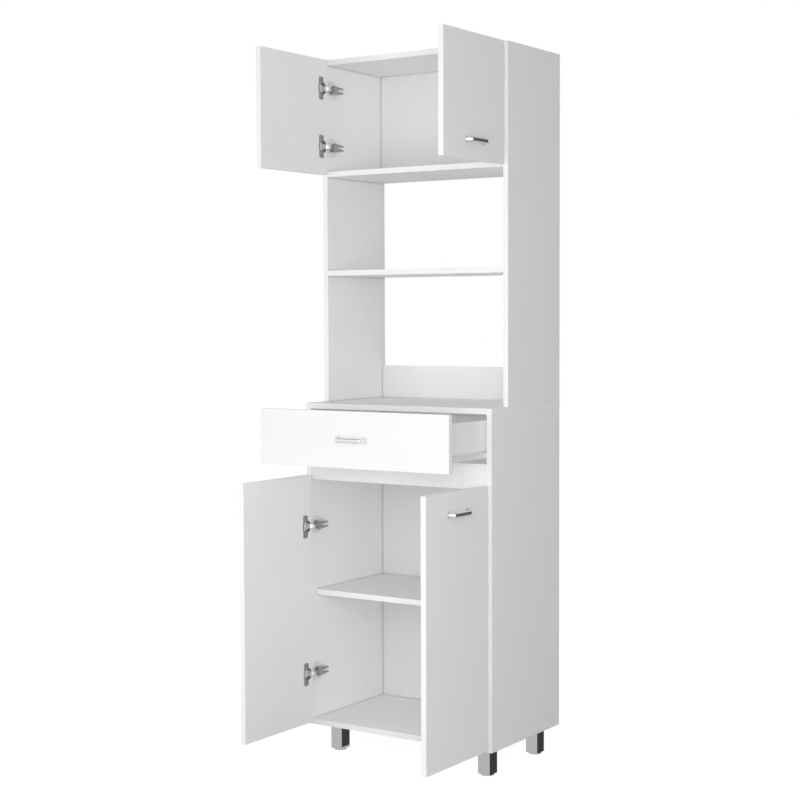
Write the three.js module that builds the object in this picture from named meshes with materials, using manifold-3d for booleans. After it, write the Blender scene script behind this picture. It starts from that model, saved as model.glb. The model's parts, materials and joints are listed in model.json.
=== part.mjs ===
// Tall microwave cabinet: a deep base unit with a drawer and two doors, and a shallower upper unit
// with a microwave bay, an open bay and a two-door compartment.
// Millimetres, +Z up. The front faces -Y and the footprint is centred on the origin.
import * as THREE from 'three';
import { mergeVertices } from 'three/addons/utils/BufferGeometryUtils.js';
import Module from 'manifold-3d';

const wasm = await Module();
wasm.setup();

// ---------------------------------------------------------------- driving dimensions

// Carcass
const cabinetWidth = 600;
const board = 15; // thickness of every melamine panel
const baseDepth = 370;
const upperDepth = 285;
const legHeight = 67;
const cupboardHeight = 676; // clear height between the base's bottom panel and the front rail
const railHeight = 68;
const drawerOpeningHeight = 130;
const microwaveBayHeight = 354.5;
const openBayHeight = 262;
const topCompartmentHeight = 295.5;
const backsplashHeight = 95;
const shelfHeight = 348.5; // of the base shelf's underside above the bottom panel
const shelfSetback = 24; // of the base shelf behind the base's front

// Hardboard backs and the drawer bottom, let into grooves
const hardboard = 3;
const backInset = 15;
const grooveDepth = 6;
const grooveClearance = 0.2;

// Fronts
const doorGap = 2.2; // between a closed front and the carcass
const sideReveal = 1;
const doorMeetingGap = 3;
const upperDoorTopReveal = 1;
const upperDoorBottomReveal = 4.5;
const lowerDoorBottomReveal = 7.5;
const lowerDoorRailOverlap = 13;
const drawerFrontRailOverlap = 9.5;
const drawerFrontWorktopOverlap = 9.5;
const doorOpenAngle = Math.PI / 2;
const drawerExtension = 190;

// Drawer box
const drawerSide = 12;
const drawerBoxLift = 16; // of the box above the front rail
const drawerBoxHeight = 97;
const drawerBoxDepth = 340;
const drawerBottomLift = 8;

// Roller runners
const runnerSpace = 12.5; // between the carcass side and the drawer side
const runnerSetback = 1;
const runnerLength = 350;
const runnerMetal = 1.2;
const memberHeight = 14; // of the drawer's member on the drawer side
const memberFoot = 10; // of the drawer's member under the drawer side
const rollerRadius = 6.5;
const rollerWidth = 8.4;
const rollerAxleRadius = 2.5;
const rollerEndMargin = 1.5;
const rollerClearance = 0.2;
const memberClearance = 0.6;
const returnFlange = 8;

// Bow handles
const handleFeet = 84; // between the middles of the two round feet
const handleFootRadius = 8.5;
const handleFootThickness = 2.5;
const handleLength = 80; // of the bar, over its corners
const handleProjection = 19.5;
const handleHeight = 10;
const handleBar = 7;
const handleLegWidth = 8;
const handleCorner = 2.5; // how far the bar's outer corners are rounded off
const handleInnerCorner = 1;
const handleEdgeRadius = 1.5;
const upperHandleInset = 49; // of the handle's middle above the upper door's lower edge
const lowerHandleInset = 57; // of the handle's middle below the lower door's upper edge

// Legs
const legSize = 38;
const legCornerRadius = 2;
const glideHeight = 5;
const glideRadius = 18;
const legInsetRight = 11;
const legInsetLeft = 72;
const legInsetFront = 9.5;
const legInsetBack = 66;

// Cup hinges. "In" is counted from the carcass side's inner face, "forward" from its front edge.
const pivotFromEdge = 7; // door's turning axis, from its hinge edge
const pivotDepth = 13.5; // door's turning axis, from its inner face
const upperHingeTopInset = 81; // of a hinge's middle from the door's top edge
const upperHingeBottomInset = 78;
const lowerHingeTopInset = 143;
const lowerHingeBottomInset = 139.5;
const cupRadius = 17.2;
const cupDepth = 12;
const cupWall = 1.2;
const cupFromEdge = 4.8;
const boreClearance = 0.3;
const flangeLength = 63;
const flangeWidth = 18.6;
const flangeThickness = 1.5;
const flangeOffset = 6; // of the flange's middle from the cup's, away from the hinge edge
const flangeScrewSpacing = 48;
const flangeScrewRadius = 2.2;
const armMetal = 1.3;
const armNoseWidth = 15;
const armShoulder = 8; // where the arm starts to widen, behind the front edge
const armShoulderRun = 5; // over which it widens
const armShoulderWidth = 23;
const armTailWidth = 16;
const armTail = 59; // of the arm's end behind the front edge
const armCrown = 14; // height of the arm over the carcass side
const armFoot = 4;
const armBend = 30; // where the arm starts to rise towards its nose
const armForkRadius = 3;
const armPinRadius = 2;
const armPinIn = 18.6;
const armPinForward = 2;
const tailSlotWidth = 7;
const tailSlotLength = 16;
const armScrewRadius = 2.6;
const armScrewLine = 34; // of the screw through the arm, behind the front edge
const plateScrewLine = 22;
const plateScrewSpacing = 32;
const plateWingLength = 46;
const plateWingWidth = 28;
const plateWingCorner = 8;
const plateThickness = 2.5;
const plateRailHeight = 5;
const linkLength = 23.5;
const linkBow = 5.9;
const linkThickness = 2;
const linkWidth = 11.4;
const linkEyeRadius = 3;
const linkEndRadius = 1.6;
const linkRunningGap = 0.15;
const linkTurnRatio = -0.358; // the link's turn for each degree of the door's
const cupPinFromEdge = 10; // of the link's far end with the door closed, from its hinge edge
const cupPinDepth = 5.9;
const cupNotchWidth = 3.4; // of the cut in the cup's rim that lets the link out
const cupNotchDepth = 0.9;
const cheekGap = 0.3; // beside the link, to the two cheeks that hold its pin in the cup
const cheekThickness = 1.5;
const cheekReach = 9.5; // of the cheeks from the cup's wall

// Fitting gaps
const seatGap = 0.3; // under what is screwed on or pressed in
const stackGap = 0.1; // under hardware that lies on a fixed panel

// Facets
const cupFacets = 28;
const roundFacets = 16;
const filletSegments = 4;

// ---------------------------------------------------------------- derived places

const halfWidth = cabinetWidth / 2;
const innerHalf = halfWidth - board;
const baseFront = -baseDepth;
const upperFront = -upperDepth;

const bottomTop = legHeight + board;
const shelfBottom = bottomTop + shelfHeight;
const railBottom = bottomTop + cupboardHeight;
const railTop = railBottom + railHeight;
const worktopBottom = railTop + drawerOpeningHeight;
const worktopTop = worktopBottom + board;
const bayShelfBottom = worktopTop + microwaveBayHeight;
const bayShelfTop = bayShelfBottom + board;
const upperFloorBottom = bayShelfTop + openBayHeight;
const upperFloorTop = upperFloorBottom + board;
const topPanelBottom = upperFloorTop + topCompartmentHeight;
const cabinetTop = topPanelBottom + board;

const backFront = -(backInset + hardboard);
const grooveY = [backFront - grooveClearance, -backInset + grooveClearance];
const tongue = grooveDepth - seatGap; // how far a back reaches into its groove

const doorWidth = halfWidth - sideReveal - doorMeetingGap / 2;
const upperDoorZ = [upperFloorBottom + upperDoorBottomReveal, cabinetTop - upperDoorTopReveal];
const lowerDoorZ = [legHeight + lowerDoorBottomReveal, railBottom + lowerDoorRailOverlap];
const drawerFrontZ = [railTop - drawerFrontRailOverlap, worktopBottom + drawerFrontWorktopOverlap];

// The turning axis stands in front of the carcass, a little inside its outer face.
const pivotForward = doorGap + pivotDepth;
const pivotX = halfWidth - sideReveal - pivotFromEdge;

const drawerBoxBottom = railTop + drawerBoxLift;
const drawerBoxTop = drawerBoxBottom + drawerBoxHeight;
const drawerOuterHalf = innerHalf - runnerSpace;
const drawerInnerHalf = drawerOuterHalf - drawerSide;
const drawerFrontBack = baseFront - doorGap; // rear face of the closed drawer front
const drawerBoxBack = drawerFrontBack + drawerBoxDepth;
const drawerBottomZ = [
  drawerBoxBottom + drawerBottomLift,
  drawerBoxBottom + drawerBottomLift + hardboard,
];

// ---------------------------------------------------------------- materials

const white = new THREE.MeshStandardMaterial({ color: 0xf2f2f1, roughness: 0.5, metalness: 0 });
const backWhite = new THREE.MeshStandardMaterial({ color: 0xeeeeed, roughness: 0.6, metalness: 0 });
const chrome = new THREE.MeshStandardMaterial({ color: 0xc8c8ca, roughness: 0.12, metalness: 1 });
const steel = new THREE.MeshStandardMaterial({ color: 0xb4b5b7, roughness: 0.3, metalness: 1 });
const enamel = new THREE.MeshStandardMaterial({ color: 0xe4e4e2, roughness: 0.4, metalness: 0.2 });

// ---------------------------------------------------------------- geometry tools

// A box from its two corners, so that panels that meet share the very same coordinate.
function block([x0, x1], [y0, y1], [z0, z1]) {
  const geometry = new THREE.BoxGeometry(1, 1, 1);
  const corner = geometry.attributes.position;
  for (let i = 0; i < corner.count; i += 1) {
    const x = corner.getX(i) < 0 ? x0 : x1;
    const y = corner.getY(i) < 0 ? y0 : y1;
    const z = corner.getZ(i) < 0 ? z0 : z1;
    corner.setXYZ(i, x, y, z);
  }
  return geometry;
}

// A cylinder between two places on an axis: 'x', 'y' or 'z'.
function rod(axis, [start, end], radius, facets = roundFacets) {
  const geometry = new THREE.CylinderGeometry(radius, radius, end - start, facets);
  const middle = (start + end) / 2;
  if (axis === 'x') geometry.rotateZ(-Math.PI / 2).translate(middle, 0, 0);
  if (axis === 'y') geometry.translate(0, middle, 0);
  if (axis === 'z') geometry.rotateX(Math.PI / 2).translate(0, 0, middle);
  return geometry;
}

function extrude(shape, length, curveSegments = filletSegments) {
  return new THREE.ExtrudeGeometry(shape, { depth: length, bevelEnabled: false, curveSegments });
}

// An outline in the XY plane, extruded up Z and centred on z = 0.
function extrudeUp(shape, height, curveSegments) {
  return extrude(shape, height, curveSegments).translate(0, 0, -height / 2);
}

// An outline in the XZ plane, extruded along Y from start to end.
function extrudeBack(shape, [start, end], curveSegments) {
  return extrude(shape, end - start, curveSegments).rotateX(Math.PI / 2).translate(0, end, 0);
}

// An outline of [up, forward] points, extruded along X from start to end.
function extrudeAcross(shape, [start, end], curveSegments) {
  const turned = new THREE.Matrix4().makeBasis(
    new THREE.Vector3(0, 0, 1),
    new THREE.Vector3(0, -1, 0),
    new THREE.Vector3(1, 0, 0),
  );
  return extrude(shape, end - start, curveSegments).applyMatrix4(turned).translate(start, 0, 0);
}

function roundedRectangle(width, height, radius) {
  const [x, y] = [width / 2, height / 2];
  const shape = new THREE.Shape();
  shape.absarc(x - radius, y - radius, radius, 0, Math.PI / 2);
  shape.absarc(radius - x, y - radius, radius, Math.PI / 2, Math.PI);
  shape.absarc(radius - x, radius - y, radius, Math.PI, Math.PI * 1.5);
  shape.absarc(x - radius, radius - y, radius, Math.PI * 1.5, Math.PI * 2);
  return shape;
}

function polygon(points) {
  return new THREE.Shape(points.map(([x, y]) => new THREE.Vector2(x, y)));
}

// A closed outline through [x, y, cut] corners, each rounded off from the length of its cut away.
function softPolygon(corners) {
  const points = corners.map(([x, y]) => new THREE.Vector2(x, y));
  const shape = new THREE.Shape();
  corners.forEach(([x, y, cut = 0], i) => {
    const towards = (point) => points[i].clone().add(point.clone().sub(points[i]).setLength(cut));
    const start = towards(points.at(i - 1));
    const end = towards(points[(i + 1) % points.length]);
    if (i === 0) shape.moveTo(start.x, start.y);
    else shape.lineTo(start.x, start.y);
    if (cut > 0) shape.quadraticCurveTo(x, y, end.x, end.y);
  });
  return shape;
}

function positionsOnly(geometry) {
  const bare = geometry.clone();
  bare.deleteAttribute('normal');
  bare.deleteAttribute('uv');
  return mergeVertices(bare);
}

function toSolid(geometry) {
  const merged = positionsOnly(geometry);
  return new wasm.Manifold(new wasm.Mesh({
    numProp: 3,
    vertProperties: new Float32Array(merged.attributes.position.array),
    triVerts: new Uint32Array(merged.index.array),
  }));
}

function toGeometry(solid) {
  const { vertProperties, triVerts } = solid.getMesh();
  const geometry = new THREE.BufferGeometry();
  geometry.setAttribute('position', new THREE.BufferAttribute(vertProperties, 3));
  geometry.setIndex(new THREE.BufferAttribute(triVerts, 1));
  geometry.computeVertexNormals();
  return geometry;
}

function shaped(first, { keep = [], add = [], remove = [] }) {
  let solid = toSolid(first);
  keep.forEach((geometry) => { solid = solid.intersect(toSolid(geometry)); });
  add.forEach((geometry) => { solid = solid.add(toSolid(geometry)); });
  remove.forEach((geometry) => { solid = solid.subtract(toSolid(geometry)); });
  return toGeometry(solid);
}

// Everything on a side of the cabinet is drawn for the right (hand = 1) and mirrored for the left.
function handed(geometry, hand) {
  if (hand > 0) return geometry;
  const mirrored = positionsOnly(geometry).scale(-1, 1, 1);
  const corners = mirrored.index;
  for (let i = 0; i < corners.count; i += 3) {
    const second = corners.getX(i + 1);
    corners.setX(i + 1, corners.getX(i + 2));
    corners.setX(i + 2, second);
  }
  mirrored.computeVertexNormals();
  return mirrored;
}

function piece(name, geometry, material) {
  const mesh = new THREE.Mesh(geometry, material.clone());
  mesh.name = name;
  return mesh;
}

const sides = [
  { side: 'left', hand: -1 },
  { side: 'right', hand: 1 },
];

// ---------------------------------------------------------------- carcass

function baseUnit() {
  const unit = new THREE.Group();
  const grooveFloor = bottomTop - grooveDepth;
  sides.forEach(({ side, hand }) => {
    const panel = shaped(
      block([innerHalf, halfWidth], [baseFront, 0], [legHeight, worktopBottom]),
      { remove: [block([innerHalf - board, innerHalf + grooveDepth], grooveY, [grooveFloor, cabinetTop])] },
    );
    unit.add(piece(`base_side_${side}`, handed(panel, hand), white));
  });

  const across = [-innerHalf, innerHalf];
  const bottom = shaped(
    block(across, [baseFront, 0], [legHeight, bottomTop]),
    { remove: [block([-halfWidth, halfWidth], grooveY, [grooveFloor, worktopTop])] },
  );
  unit.add(piece('base_bottom', bottom, white));

  const worktop = shaped(
    block([-halfWidth, halfWidth], [baseFront, 0], [worktopBottom, worktopTop]),
    {
      remove: [block(
        [-innerHalf - grooveDepth, innerHalf + grooveDepth],
        grooveY,
        [legHeight, worktopBottom + grooveDepth],
      )],
    },
  );
  unit.add(piece('worktop', worktop, white));

  const rail = block(across, [baseFront, baseFront + board], [railBottom, railTop]);
  unit.add(piece('front_rail', rail, white));

  const shelf = block(
    across,
    [baseFront + shelfSetback, backFront - seatGap],
    [shelfBottom, shelfBottom + board],
  );
  unit.add(piece('base_shelf', shelf, white));

  const back = block(
    [-innerHalf - tongue, innerHalf + tongue],
    [backFront, -backInset],
    [bottomTop - tongue, worktopBottom + tongue],
  );
  unit.add(piece('base_back', back, backWhite));
  return unit;
}

function upperUnit() {
  const unit = new THREE.Group();
  const grooveZ = [upperFloorTop - grooveDepth, topPanelBottom + grooveDepth];
  sides.forEach(({ side, hand }) => {
    const panel = shaped(
      block([innerHalf, halfWidth], [upperFront, 0], [worktopTop, cabinetTop]),
      { remove: [block([innerHalf - board, innerHalf + grooveDepth], grooveY, grooveZ)] },
    );
    unit.add(piece(`upper_side_${side}`, handed(panel, hand), white));
  });

  const across = [-innerHalf, innerHalf];
  const depth = [upperFront, 0];
  const backGroove = block([-halfWidth, halfWidth], grooveY, grooveZ);
  const top = shaped(block(across, depth, [topPanelBottom, cabinetTop]), { remove: [backGroove] });
  const floor = shaped(block(across, depth, [upperFloorBottom, upperFloorTop]), { remove: [backGroove] });
  unit.add(piece('upper_top', top, white));
  unit.add(piece('upper_floor', floor, white));
  unit.add(piece('bay_shelf', block(across, depth, [bayShelfBottom, bayShelfTop]), white));

  const backsplash = block(across, [-board, 0], [worktopTop, worktopTop + backsplashHeight]);
  unit.add(piece('backsplash', backsplash, white));

  const back = block(
    [-innerHalf - tongue, innerHalf + tongue],
    [backFront, -backInset],
    [upperFloorTop - tongue, topPanelBottom + tongue],
  );
  unit.add(piece('upper_back', back, backWhite));
  return unit;
}

// A square tube leg with rounded corners that stands on a round glide.
function leg(name, x, y) {
  const tube = extrude(roundedRectangle(legSize, legSize, legCornerRadius), legHeight - glideHeight);
  const glide = rod('z', [0, glideHeight + 1], glideRadius, cupFacets);
  const geometry = shaped(tube.translate(0, 0, glideHeight), { add: [glide] });
  const mesh = piece(name, geometry, chrome);
  mesh.position.set(x, y, 0);
  return mesh;
}

function legs() {
  const group = new THREE.Group();
  const half = legSize / 2;
  const columns = { left: legInsetLeft + half - halfWidth, right: halfWidth - legInsetRight - half };
  const rows = { front: baseFront + legInsetFront + half, back: -legInsetBack - half };
  Object.entries(rows).forEach(([row, y]) => {
    Object.entries(columns).forEach(([column, x]) => group.add(leg(`leg_${row}_${column}`, x, y)));
  });
  return group;
}

// ---------------------------------------------------------------- bow handle

// Drawn with its feet on y = 0, reaching towards -Y, its length along X. The legs lean inwards.
function handleGeometry() {
  const r = handleEdgeRadius;
  const footOuter = (handleFeet + handleLegWidth) / 2;
  const lean = (footOuter - handleLength / 2) / handleProjection;
  const inset = r * Math.hypot(1, lean);
  const outer = (reach) => footOuter - inset - lean * reach;
  const inner = (reach) => footOuter - handleLegWidth + inset - lean * reach;
  const barOuter = handleProjection - r;
  const barInner = handleProjection - handleBar + r;
  const bow = softPolygon([
    [outer(0), 0],
    [outer(barOuter), -barOuter, handleCorner],
    [-outer(barOuter), -barOuter, handleCorner],
    [-outer(0), 0],
    [-inner(0), 0],
    [-inner(barInner), -barInner, handleInnerCorner],
    [inner(barInner), -barInner, handleInnerCorner],
    [inner(0), 0],
  ]);
  const bar = new THREE.ExtrudeGeometry(bow, {
    depth: handleHeight - 2 * r,
    bevelThickness: r,
    bevelSize: r,
    bevelSegments: 2,
    curveSegments: filletSegments,
  }).translate(0, 0, r - handleHeight / 2);
  const feet = [-1, 1].map((end) => rod('y', [-handleFootThickness, 0], handleFootRadius)
    .translate(end * handleFeet / 2, 0, 0));
  // The legs are sawn off level with the feet.
  const beyond = handleLength + handleProjection;
  const saw = block([-beyond, beyond], [0, beyond], [-beyond, beyond]);
  return shaped(bar, { add: feet, remove: [saw] });
}

function handle(name, x, y, z) {
  const mesh = piece(name, handleGeometry(), chrome);
  mesh.position.set(x, y - seatGap, z);
  return mesh;
}

// ---------------------------------------------------------------- drawer and runners

// Runner sections are drawn in the XZ plane for the right side, from how far a point lies inside
// the carcass side and how far it lies above the drawer box's bottom.
function runnerSection(points) {
  return polygon(points.map(([inward, up]) => [innerHalf - inward, drawerBoxBottom + up]));
}

const memberOuter = runnerSpace - stackGap - runnerMetal; // drawer member's face towards the side
const trackTop = memberHeight - runnerMetal; // underside of the drawer member's rail
const rollerUp = trackTop - rollerClearance - rollerRadius;
const rollerInward = [runnerMetal + memberClearance, runnerMetal + memberClearance + rollerWidth];

function roller(inward, y) {
  const along = [innerHalf - inward[1], innerHalf - inward[0]];
  return rod('x', along, rollerRadius).translate(0, y, drawerBoxBottom + rollerUp);
}

function axle(inward, y) {
  const along = [innerHalf - inward[1], innerHalf - inward[0]];
  return rod('x', along, rollerAxleRadius).translate(0, y, drawerBoxBottom + rollerUp);
}

function cabinetRunner({ side, hand }) {
  const start = baseFront + runnerSetback;
  const trackFloor = rollerUp - rollerRadius - rollerClearance;
  const base = trackFloor - runnerMetal;
  const top = memberHeight + memberClearance + runnerMetal;
  const lip = memberOuter - memberClearance;
  const section = runnerSection([
    [stackGap, base],
    [stackGap, top],
    [returnFlange, top],
    [returnFlange, top - runnerMetal],
    [runnerMetal, top - runnerMetal],
    [runnerMetal, trackFloor],
    [lip, trackFloor],
    [lip, base],
  ]);
  const rollerY = start + rollerRadius + rollerEndMargin;
  const geometry = shaped(extrudeBack(section, [start, start + runnerLength]), {
    add: [roller(rollerInward, rollerY), axle([runnerMetal / 2, rollerInward[1] - 1], rollerY)],
  });
  return piece(`cabinet_runner_${side}`, handed(geometry, hand), enamel);
}

function drawerRunner({ side, hand }) {
  const start = drawerFrontBack + seatGap;
  const end = drawerBoxBack;
  const inner = runnerSpace - stackGap;
  const rail = runnerMetal + 2 * memberClearance;
  const section = runnerSection([
    [inner + memberFoot, -stackGap - runnerMetal],
    [memberOuter, -stackGap - runnerMetal],
    [memberOuter, trackTop],
    [rail, trackTop],
    [rail, memberHeight],
    [inner, memberHeight],
    [inner, -stackGap],
    [inner + memberFoot, -stackGap],
  ]);
  const rollerY = end - rollerRadius - rollerEndMargin;
  const geometry = shaped(extrudeBack(section, [start, end]), {
    add: [roller(rollerInward, rollerY), axle([rollerInward[0] + 1, inner - runnerMetal / 2], rollerY)],
  });
  return piece(`drawer_runner_${side}`, handed(geometry, hand), enamel);
}

// The drawer is drawn closed and pulled out by moving its group.
function drawer() {
  const group = new THREE.Group();
  const grooveZ = [drawerBottomZ[0] - grooveClearance, drawerBottomZ[1] + grooveClearance];
  const boardDepth = [drawerFrontBack, drawerBoxBack];
  const grooveSpan = [-drawerInnerHalf - grooveDepth, drawerInnerHalf + grooveDepth];

  const frontHalf = halfWidth - sideReveal;
  const front = shaped(
    block([-frontHalf, frontHalf], [drawerFrontBack - board, drawerFrontBack], drawerFrontZ),
    { remove: [block(grooveSpan, [drawerFrontBack - grooveDepth, 0], grooveZ)] },
  );
  group.add(piece('drawer_front', front, white));

  sides.forEach((place) => {
    const panel = shaped(
      block([drawerInnerHalf, drawerOuterHalf], boardDepth, [drawerBoxBottom, drawerBoxTop]),
      { remove: [block([0, drawerInnerHalf + grooveDepth], [drawerFrontBack - board, 0], grooveZ)] },
    );
    group.add(piece(`drawer_side_${place.side}`, handed(panel, place.hand), white));
    group.add(drawerRunner(place));
  });

  // The back stands on the bottom panel, which slides in under it.
  const back = block(
    [-drawerInnerHalf, drawerInnerHalf],
    [drawerBoxBack - drawerSide, drawerBoxBack],
    [drawerBottomZ[1] + grooveClearance, drawerBoxTop],
  );
  group.add(piece('drawer_back', back, white));
  const bottom = block(
    [-drawerInnerHalf - tongue, drawerInnerHalf + tongue],
    [drawerFrontBack - tongue, drawerBoxBack],
    drawerBottomZ,
  );
  group.add(piece('drawer_bottom', bottom, backWhite));

  const handleZ = (drawerFrontZ[0] + drawerFrontZ[1]) / 2;
  group.add(handle('drawer_handle', 0, drawerFrontBack - board, handleZ));
  group.position.y = -drawerExtension;
  return group;
}

// ---------------------------------------------------------------- cup hinge

// The link's direction for a door turned by an angle from closed, from inwards towards forwards.
function linkAngleAt(doorAngle) {
  const inward = cupPinFromEdge + sideReveal - board - armPinIn;
  const forward = cupPinDepth + doorGap - armPinForward;
  return Math.atan2(forward, inward) + linkTurnRatio * doorAngle;
}

// Side view of the arm, drawn for the right side: inward is -X and forward is -Y.
function armOutline(points) {
  return polygon(points.map(([inward, forward]) => [-inward, -forward]));
}

// The arm seen from inside the cabinet: a narrow nose, then a shoulder and a taper to the tail.
function armPlan(inset) {
  const half = (width) => width / 2 - inset;
  const upper = [
    [half(armNoseWidth), board],
    [half(armNoseWidth), -armShoulder],
    [half(armShoulderWidth), -armShoulder - armShoulderRun],
    [half(armTailWidth), -armTail],
    [half(armTailWidth), -armTail - board],
  ];
  const lower = upper.map(([up, forward]) => [-up, forward]).reverse();
  return extrudeAcross(polygon([...upper, ...lower]), [-2 * armPinIn, 0]);
}

function hingeArm() {
  const nose = armPinIn + armForkRadius;
  const outline = armOutline([
    [armFoot, -armTail],
    [armCrown, -armTail],
    [armCrown, -armBend],
    [nose, -armForkRadius],
    [nose, armPinForward],
    [armPinIn - armForkRadius, armPinForward],
    [armPinIn - armForkRadius, -armForkRadius],
    [armFoot, -armBend + armForkRadius],
  ]);
  // The channel inside leaves the crown and two cheeks, and no crown where the link turns.
  const forkStart = armPinForward - linkEyeRadius - 2 * seatGap;
  const channelOutline = armOutline([
    [-armFoot, -armTail - board],
    [armCrown - armMetal, -armTail - board],
    [armCrown - armMetal, -armBend],
    [nose - armMetal, forkStart],
    [nose + armFoot, forkStart],
    [nose + armFoot, board],
    [-armFoot, board],
  ]);
  const channel = shaped(extrudeUp(channelOutline, armShoulderWidth), { keep: [armPlan(armMetal)] });
  const slotStart = armTail - tailSlotLength;
  const tailSlot = block(
    [-armCrown - 1, -armFoot],
    [slotStart, armTail + 1],
    [-tailSlotWidth / 2, tailSlotWidth / 2],
  );
  const slotEnd = rod('x', [-armCrown - 1, -armFoot], tailSlotWidth / 2).translate(0, slotStart, 0);
  const screwHole = rod('x', [-armCrown - 1, -plateRailHeight], armScrewRadius)
    .translate(0, armScrewLine, 0);
  const noseSpan = [-armNoseWidth / 2, armNoseWidth / 2];
  const arm = shaped(extrudeUp(outline, armShoulderWidth), {
    keep: [armPlan(0)],
    add: [rod('z', noseSpan, armForkRadius).translate(-armPinIn, -armPinForward, 0)],
    remove: [channel, tailSlot, slotEnd, screwHole],
  });
  const pin = rod('z', noseSpan, armPinRadius).translate(-armPinIn, -armPinForward, 0);

  // Butterfly mounting plate: wings up and down the carcass side, and a rail inside the arm.
  const wings = extrudeAcross(
    roundedRectangle(plateWingLength, plateWingWidth, plateWingCorner),
    [-plateThickness - stackGap, -stackGap],
  ).translate(0, plateScrewLine, 0);
  const rail = shaped(
    block(
      [-plateRailHeight, -stackGap],
      [armBend - armForkRadius, armTail - armMetal],
      [-armShoulderWidth, armShoulderWidth],
    ),
    { keep: [armPlan(armMetal / 2)] },
  );
  const screwHoles = [-1, 1].map((end) => rod('x', [-board, board], armScrewRadius)
    .translate(0, plateScrewLine, end * plateScrewSpacing / 2));
  const plate = shaped(wings, { remove: screwHoles });
  return shaped(arm, { add: [pin, rail, plate] });
}

// A goose-neck link along +X from its eye on the arm's pin, bowed towards -Y.
function hingeLink() {
  const halfLength = linkLength / 2;
  const radius = (halfLength ** 2 + linkBow ** 2) / (2 * linkBow);
  const centre = radius - linkBow;
  const spread = Math.asin(halfLength / radius);
  const [from, to] = [-Math.PI / 2 - spread, -Math.PI / 2 + spread];
  const neck = new THREE.Shape();
  neck.absarc(halfLength, centre, radius + linkThickness / 2, from, to, false);
  neck.absarc(halfLength, centre, radius - linkThickness / 2, to, from, true);
  const half = linkWidth / 2;
  return shaped(extrudeUp(neck, linkWidth, roundFacets / 2), {
    add: [
      rod('z', [-half, half], linkEyeRadius),
      rod('z', [-half, half], linkEndRadius).translate(linkLength, 0, 0),
    ],
    remove: [rod('z', [-linkWidth, linkWidth], armPinRadius + linkRunningGap)],
  });
}

// The cup with its screw flange, its mouth on y = 0 and facing +Y, its middle at x = 0.
function hingeCup() {
  const disc = rod('y', [-cupDepth, flangeThickness], cupRadius, cupFacets);
  const flange = extrudeBack(
    roundedRectangle(flangeWidth, flangeLength, flangeWidth / 4),
    [0, flangeThickness],
  ).translate(-flangeOffset, 0, 0);
  const hollow = rod('y', [cupWall - cupDepth, board], cupRadius - cupWall, cupFacets);
  const screwHoles = [-1, 1].map((end) => rod('y', [-board, board], flangeScrewRadius)
    .translate(-flangeOffset, 0, end * flangeScrewSpacing / 2));
  const notch = block(
    [cupRadius - cupNotchWidth, cupRadius + 1],
    [-cupNotchDepth, flangeThickness + 1],
    [-linkWidth, linkWidth],
  );
  const dish = shaped(disc, { add: [flange], remove: [hollow, ...screwHoles] });
  const cheekIn = linkWidth / 2 + cheekGap;
  const cheeks = [-cheekIn - cheekThickness, cheekIn].map((z) => block(
    [cupRadius - cheekReach, cupRadius - 2 * cupWall],
    [-cupDepth + cupWall / 2, -cupNotchDepth],
    [z, z + cheekThickness],
  ));
  return shaped(dish, { add: cheeks, remove: [notch] });
}

// ---------------------------------------------------------------- doors

// A door is drawn closed around its turning axis and then turned open.
function door({ storey, front, zRange, hingeHeights, handleZ }, { side, hand }) {
  const group = new THREE.Group();
  const turn = new THREE.Group();
  const edge = pivotFromEdge;
  const inner = pivotDepth;
  const cupMiddle = edge - cupFromEdge - cupRadius;

  const bores = Object.values(hingeHeights).map((z) => rod(
    'y',
    [inner - cupDepth - 2 * boreClearance, inner + board],
    cupRadius + boreClearance,
    cupFacets,
  ).translate(cupMiddle, 0, z));
  const panel = shaped(
    block([edge - doorWidth, edge], [inner - board, inner], zRange),
    { remove: bores },
  );
  turn.add(piece(`${storey}_door_${side}`, handed(panel, hand), white));
  const handleX = hand * (edge - doorWidth / 2);
  turn.add(handle(`${storey}_handle_${side}`, handleX, inner - board, handleZ));

  Object.entries(hingeHeights).forEach(([end, z]) => {
    const cup = piece(`hinge_cup_${storey}_${side}_${end}`, handed(hingeCup(), hand), steel);
    cup.position.set(hand * cupMiddle, inner + boreClearance, z);
    turn.add(cup);

    const arm = piece(`hinge_arm_${storey}_${side}_${end}`, handed(hingeArm(), hand), steel);
    arm.position.set(hand * innerHalf, front, z);
    group.add(arm);

    const link = piece(`hinge_link_${storey}_${side}_${end}`, handed(hingeLink(), hand), steel);
    link.position.set(hand * (innerHalf - armPinIn), front - armPinForward, z);
    link.rotation.z = hand * (linkAngleAt(doorOpenAngle) - Math.PI);
    group.add(link);
  });

  turn.position.set(hand * pivotX, front - pivotForward, 0);
  turn.rotation.z = hand * doorOpenAngle;
  group.add(turn);
  return group;
}

const storeys = [
  {
    storey: 'upper',
    front: upperFront,
    zRange: upperDoorZ,
    hingeHeights: {
      top: upperDoorZ[1] - upperHingeTopInset,
      bottom: upperDoorZ[0] + upperHingeBottomInset,
    },
    handleZ: upperDoorZ[0] + upperHandleInset,
  },
  {
    storey: 'lower',
    front: baseFront,
    zRange: lowerDoorZ,
    hingeHeights: {
      top: lowerDoorZ[1] - lowerHingeTopInset,
      bottom: lowerDoorZ[0] + lowerHingeBottomInset,
    },
    handleZ: lowerDoorZ[1] - lowerHandleInset,
  },
];

// ---------------------------------------------------------------- assembly

const cabinet = new THREE.Group();
cabinet.add(baseUnit(), upperUnit(), legs(), drawer());
sides.forEach((place) => {
  cabinet.add(cabinetRunner(place));
  storeys.forEach((storey) => cabinet.add(door(storey, place)));
});

// The origin is on the floor, under the middle of the space that the open cabinet takes up.
const footprint = new THREE.Box3().setFromObject(cabinet);
cabinet.position.y = -(footprint.min.y + footprint.max.y) / 2;

export default cabinet;
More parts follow.
